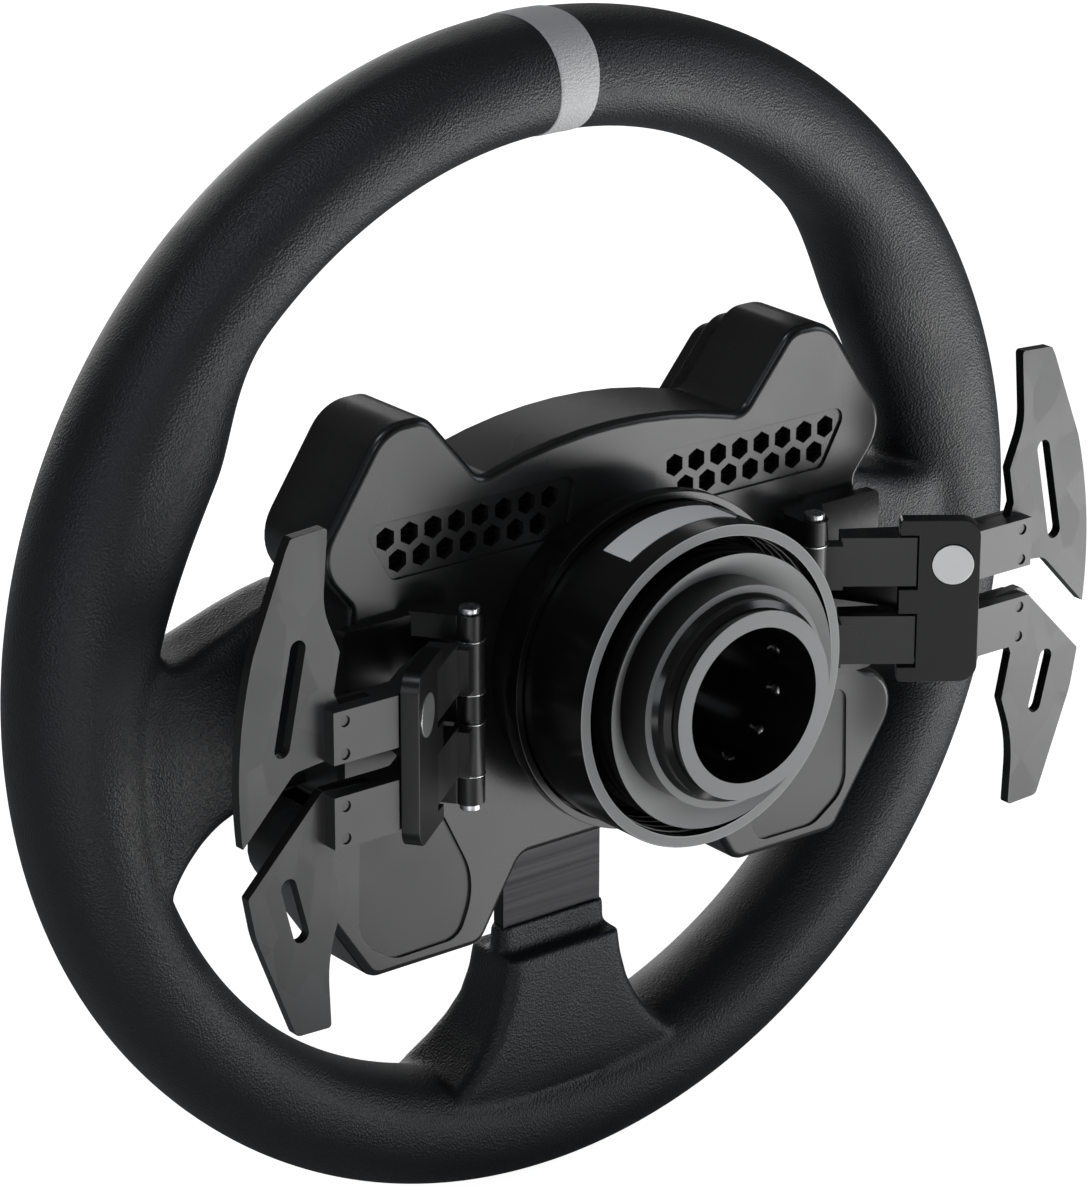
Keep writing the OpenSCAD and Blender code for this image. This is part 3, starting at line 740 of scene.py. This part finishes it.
def collar_spring():
    """A wound spring between the flange and the collar's front lip."""
    low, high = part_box("collar_spring")
    wire = 0.6 * MM
    mean = (high.x - low.x) / 2 - wire
    turns, steps, sides = 4, 60, 8
    bm = bmesh.new()
    rows = []
    for i in range(turns * steps + 1):
        along = i / (turns * steps)
        turn = 2 * math.pi * turns * along
        y = low.y + wire + (high.y - low.y - 2 * wire) * along
        ring = []
        for j in range(sides):
            phi = 2 * math.pi * j / sides
            r = mean + wire * math.cos(phi)
            ring.append(bm.verts.new((r * math.cos(turn), y + wire * math.sin(phi), r * math.sin(turn))))
        rows.append(ring)
    grid_faces(bm, rows, False)
    close_ends(bm, rows)
    bmesh.ops.recalc_face_normals(bm, faces=bm.faces)
    smooth_by_angle(bm, 60)
    spring = piece("collar_spring.coil", bm, "collar_spring")
    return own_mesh(spring)


# ---------------------------------------------------------------- assembly


def build():
    leather_rim()
    marker_band()
    housing()
    quick_release_part("release_body", 0.3 * MM)
    quick_release_part("release_collar", 0.4 * MM)
    contact_block()
    vent_mesh()
    collar_spring()
    for side in ("right", "left"):
        blade(f"shift_blade_{side}")
        blade(f"clutch_blade_{side}")
        for letter in "abcde":
            push_button(f"button_{letter}_{side}")
        ribbed_control(f"thumb_wheel_{side}", 18, 0.5 * MM)
        ribbed_control(f"knob_{side}", 30, 0.4 * MM)
        thumb_stick(f"stick_{side}")
        for kind in ("shift", "clutch"):
            finished(f"{kind}_arm_{side}", 0.35 * MM)
            finished(f"{kind}_screws_{side}", 0.1 * MM)
        finished(f"paddle_base_{side}", 0.4 * MM)
        finished(f"paddle_cover_{side}", 0.3 * MM)
        finished(f"stick_gimbal_{side}", 0.15 * MM)
    for node, width in (
        ("spoke_plate", 0.3 * MM),
        ("hub_boss", 0.5 * MM),
        ("hub_bolts", 0.4 * MM),
        ("locking_balls", 0.1 * MM),
        ("collar_label", 0.05 * MM),
        ("circuit_board", 0.1 * MM),
        ("front_panel", 0.4 * MM),
        ("rev_light_lens", 0.3 * MM),
        ("housing_screws", 0.3 * MM),
        ("hinge_pins", 0.3 * MM),
        ("hinge_washers", 0.1 * MM),
        ("magnet_discs", 0.2 * MM),
    ):
        finished(node, width)


# ---------------------------------------------------------------- stage, light and camera


FLOOR_Z = CAD_BOX[0][2] - 0.5 * MM


def stage_floor():
    """A plain floor: it glows white to the camera, and is plain grey in reflections on the wheel."""
    mesh = bpy.data.meshes.new("floor")
    reach = 9
    corners = ((-reach, -reach), (reach, -reach), (reach, reach), (-reach, reach))
    mesh.from_pydata([(x, y, FLOOR_Z) for x, y in corners], [], [(0, 1, 2, 3)])
    floor = bpy.data.objects.new("floor", mesh)
    bpy.context.scene.collection.objects.link(floor)
    material = paint("floor", (0.5, 0.5, 0.5), 0.9, Emission_Color=(1, 1, 1, 1))
    path = add(material, "ShaderNodeLightPath")
    feed(material, "Emission Strength", ramp(material, path.outputs["Is Camera Ray"], 0, 1, 0.0, 0.95))
    mesh.materials.append(material)


def softbox(name, place_at, aim, size, radiance, color=(1, 1, 1)):
    """A rectangular light of a given brightness, seen in reflections but not by the camera."""
    light = bpy.data.lights.new(name, "AREA")
    light.shape = "RECTANGLE"
    light.size, light.size_y = size
    light.energy = radiance * math.pi * size[0] * size[1]
    light.color = color
    obj = bpy.data.objects.new(name, light)
    obj.location = place_at
    obj.rotation_euler = (Vector(aim) - Vector(place_at)).to_track_quat("-Z", "Y").to_euler()
    obj.visible_camera = False
    bpy.context.scene.collection.objects.link(obj)
    return obj


# How bright the plain surroundings are in reflections; the camera sees them white.
WORLD_GLOW = 0.08

# Bright cards lying on the floor: centre x and y, width, depth and brightness.
FLOOR_CARDS = [
    ("card_far", -0.58, 0.38, 0.46, 0.68, 6.0),
    ("card_middle", -0.19, 0.38, 0.32, 0.68, 3.0),
    ("card_dim", 0.11, 0.4, 0.2, 0.4, 0.7),
    ("card_near", 0.38, 0.35, 0.3, 0.5, 2.0),
]


def lights():
    world = bpy.data.worlds.new("studio")
    world.use_nodes = True
    tree = world.node_tree
    background = tree.nodes["Background"]
    background.inputs["Color"].default_value = (1, 1, 1, 1)
    path = tree.nodes.new("ShaderNodeLightPath")
    strength = tree.nodes.new("ShaderNodeMapRange")
    strength.inputs["To Min"].default_value = WORLD_GLOW
    strength.inputs["To Max"].default_value = 1.0
    tree.links.new(path.outputs["Is Camera Ray"], strength.inputs["Value"])
    tree.links.new(strength.outputs["Result"], background.inputs["Strength"])
    bpy.context.scene.world = world
    for name, x, y, width, depth, radiance in FLOOR_CARDS:
        card = softbox(name, (x, y, FLOOR_Z + 2 * MM), (x, y, 1), (width, depth), radiance)
        card.rotation_euler = (math.pi, 0, 0)
    cool = (0.88, 0.93, 1.0)
    softbox("key", (1.0, 0.2, 2.4), (0, 0, 0), (0.6, 0.6), 9.0, cool)
    softbox("mouth_light", (1.0, 1.7, 1.3), (0, 0, 0), (0.5, 0.5), 4.0, cool)
    softbox("right_side", (2.2, 0.5, 0.3), (0, 0, 0), (0.9, 0.9), 2.4, cool)
    softbox("left_side", (-1.8, 1.1, 0.6), (0, 0, 0), (0.7, 1.1), 3.0, cool)
    softbox("crown_light", (-1.3, -1.6, 0.85), (0, 0, 0), (0.5, 0.5), 0.6)
    softbox("front_fill", (-0.6, -2.4, 0.3), (0, 0, 0), (1.6, 1.2), 3.0)


# The photograph's camera: its place in metres, and the way it looks in degrees. The azimuth is
# turned round from the driver's view.
CAMERA_AT = (0.7338, 0.8426, 0.4446)
CAMERA_AZIMUTH, CAMERA_ELEVATION, CAMERA_ROLL = 141.71, 20.35, 0.13
LENS, SENSOR = 141.6, 36


def camera():
    azimuth, elevation = math.radians(CAMERA_AZIMUTH), math.radians(CAMERA_ELEVATION)
    back = Vector((
        math.sin(azimuth) * math.cos(elevation),
        -math.cos(azimuth) * math.cos(elevation),
        math.sin(elevation),
    ))
    data = bpy.data.cameras.new("camera")
    data.sensor_width = SENSOR
    data.sensor_fit = "AUTO"
    data.lens = LENS
    obj = bpy.data.objects.new("camera", data)
    roll = Matrix.Rotation(math.radians(CAMERA_ROLL), 3, "Z")
    turn = back.to_track_quat("Z", "Y").to_matrix() @ roll
    obj.matrix_world = Matrix.Translation(CAMERA_AT) @ turn.to_4x4()
    bpy.context.scene.collection.objects.link(obj)
    bpy.context.scene.camera = obj
    bpy.context.scene.view_settings.view_transform = "Standard"


build()
stage_floor()
lights()
camera()
